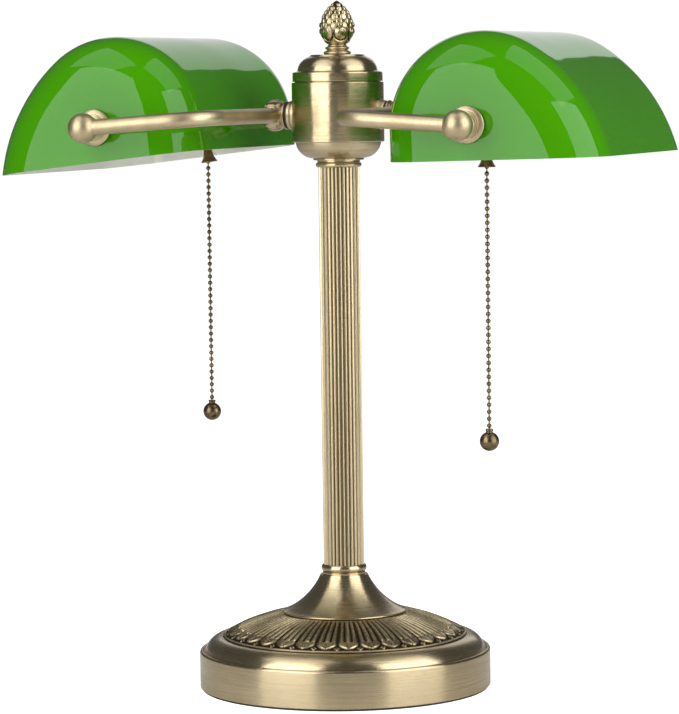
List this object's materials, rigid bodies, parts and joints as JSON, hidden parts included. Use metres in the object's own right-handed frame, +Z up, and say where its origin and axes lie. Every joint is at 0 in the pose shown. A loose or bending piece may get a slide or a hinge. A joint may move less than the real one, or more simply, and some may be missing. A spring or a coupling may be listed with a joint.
{
  "type": "banker's desk lamp",
  "caption": "Antique-brass desk lamp: fluted column on a round leaf-cast base, with two green glass shades on U-shaped yokes, each with a pull chain.",
  "frame": {"origin": "on the surface the lamp stands on, at the column's axis", "axes": "+Z up along the column; +X towards the right-hand shade; the shades and their tilting axes run along Y; the cord inlet is at +Y"},
  "size_m": [0.4288, 0.2816, 0.4701],
  "materials": {
    "brushed_brass": "antique satin, brushed round",
    "polished_brass": "antique satin",
    "cast_brass": "cast, oxidised dark in the recesses",
    "bronze": "dark antique",
    "bulb_metal": "bright",
    "steel": "zinc plated",
    "iron": "painted black",
    "black_rubber": "matt",
    "phenolic": "moulded",
    "lead_sleeve": "insulated copper",
    "bulb_glass": "frosted",
    "green_glass": "glossy green cased over white"
  },
  "bodies": {
    "stand": {"base_pad": "black_rubber", "base_weight": "iron", "base_shell": "brushed_brass", "leaf_ring": "cast_brass", "base_cone": "brushed_brass", "lower_collar": "polished_brass", "column_tube": "polished_brass", "upper_collar": "polished_brass", "lamp_pipe": "steel", "base_washer": "steel", "base_nut": "steel", "cord_bushing": "black_rubber", "hub_bowl": "brushed_brass", "hub_body": "brushed_brass", "hub_cap": "brushed_brass", "finial_spool": "polished_brass", "finial": "cast_brass", "column_leads": "lead_sleeve", "left_stud": "steel", "left_stud_nut": "steel", "left_stud_collar": "polished_brass", "left_friction_washer": "black_rubber", "right_stud": "steel", "right_stud_nut": "steel", "right_stud_collar": "polished_brass", "right_friction_washer": "black_rubber"},
    "left_arm": {"left_flower_cup": "cast_brass", "left_yoke": "polished_brass", "left_ball_fittings": "polished_brass", "left_flanges": "polished_brass", "left_nipples": "steel", "left_shade_nut": "steel", "left_socket_cap": "polished_brass", "left_socket_shell": "polished_brass", "left_socket_core": "phenolic", "left_chain_bell": "bronze", "left_bulb": "bulb_glass", "left_bulb_base": "bulb_metal"},
    "left_shade": {"left_glass_shade": "green_glass", "left_shade_gaskets": "black_rubber"},
    "left_switch": {"left_chain_eye": "bronze"},
    "left_chain": {"left_bead_chain": "bronze", "left_chain_pull": "bronze"},
    "right_arm": {"right_flower_cup": "cast_brass", "right_yoke": "polished_brass", "right_ball_fittings": "polished_brass", "right_flanges": "polished_brass", "right_nipples": "steel", "right_shade_nut": "steel", "right_socket_cap": "polished_brass", "right_socket_shell": "polished_brass", "right_socket_core": "phenolic", "right_chain_bell": "bronze", "right_bulb": "bulb_glass", "right_bulb_base": "bulb_metal"},
    "right_shade": {"right_glass_shade": "green_glass", "right_shade_gaskets": "black_rubber"},
    "right_switch": {"right_chain_eye": "bronze"},
    "right_chain": {"right_bead_chain": "bronze", "right_chain_pull": "bronze"}
  },
  "joints": [
    {"name": "left_arm_swivel", "type": "hinge", "parent": "stand", "child": "left_arm", "pos_m": [-0.03655, 0, 0.3925], "axis": [1, 0, 0], "range_deg": [-20, 20]},
    {"name": "left_shade_tilt", "type": "hinge", "parent": "left_arm", "child": "left_shade", "pos_m": [-0.1303, 0, 0.38669], "axis": [0, -1, 0], "range_deg": [-51.5, 38.5]},
    {"name": "left_chain_draw", "type": "slide", "parent": "left_arm", "child": "left_switch", "axis": [0.1392, 0, -0.9903], "range_m": [0, 0.008], "stiffness_N_per_m": 400, "springref_m": -0.003},
    {"name": "left_chain_swing", "type": "hinge", "parent": "left_switch", "child": "left_chain", "pos_m": [-0.1274, 0.07275, 0.36605], "axis": [1, 0, 0], "range_deg": [-20, 20]},
    {"name": "right_arm_swivel", "type": "hinge", "parent": "stand", "child": "right_arm", "pos_m": [0.03655, 0, 0.3925], "axis": [1, 0, 0], "range_deg": [-20, 20]},
    {"name": "right_shade_tilt", "type": "hinge", "parent": "right_arm", "child": "right_shade", "pos_m": [0.1303, 0, 0.38669], "axis": [0, 1, 0], "range_deg": [-43.8, 46.2]},
    {"name": "right_chain_draw", "type": "slide", "parent": "right_arm", "child": "right_switch", "axis": [0, 0, -1], "range_m": [0, 0.008], "stiffness_N_per_m": 400, "springref_m": -0.003},
    {"name": "right_chain_swing", "type": "hinge", "parent": "right_switch", "child": "right_chain", "pos_m": [0.1303, -0.07275, 0.36584], "axis": [1, 0, 0], "range_deg": [-20, 20]}
  ],
  "couplings": [
    {"joint": "left_chain_swing", "follows": "left_arm_swivel", "ratio": -1},
    {"joint": "right_chain_swing", "follows": "right_arm_swivel", "ratio": -1}
  ]
}
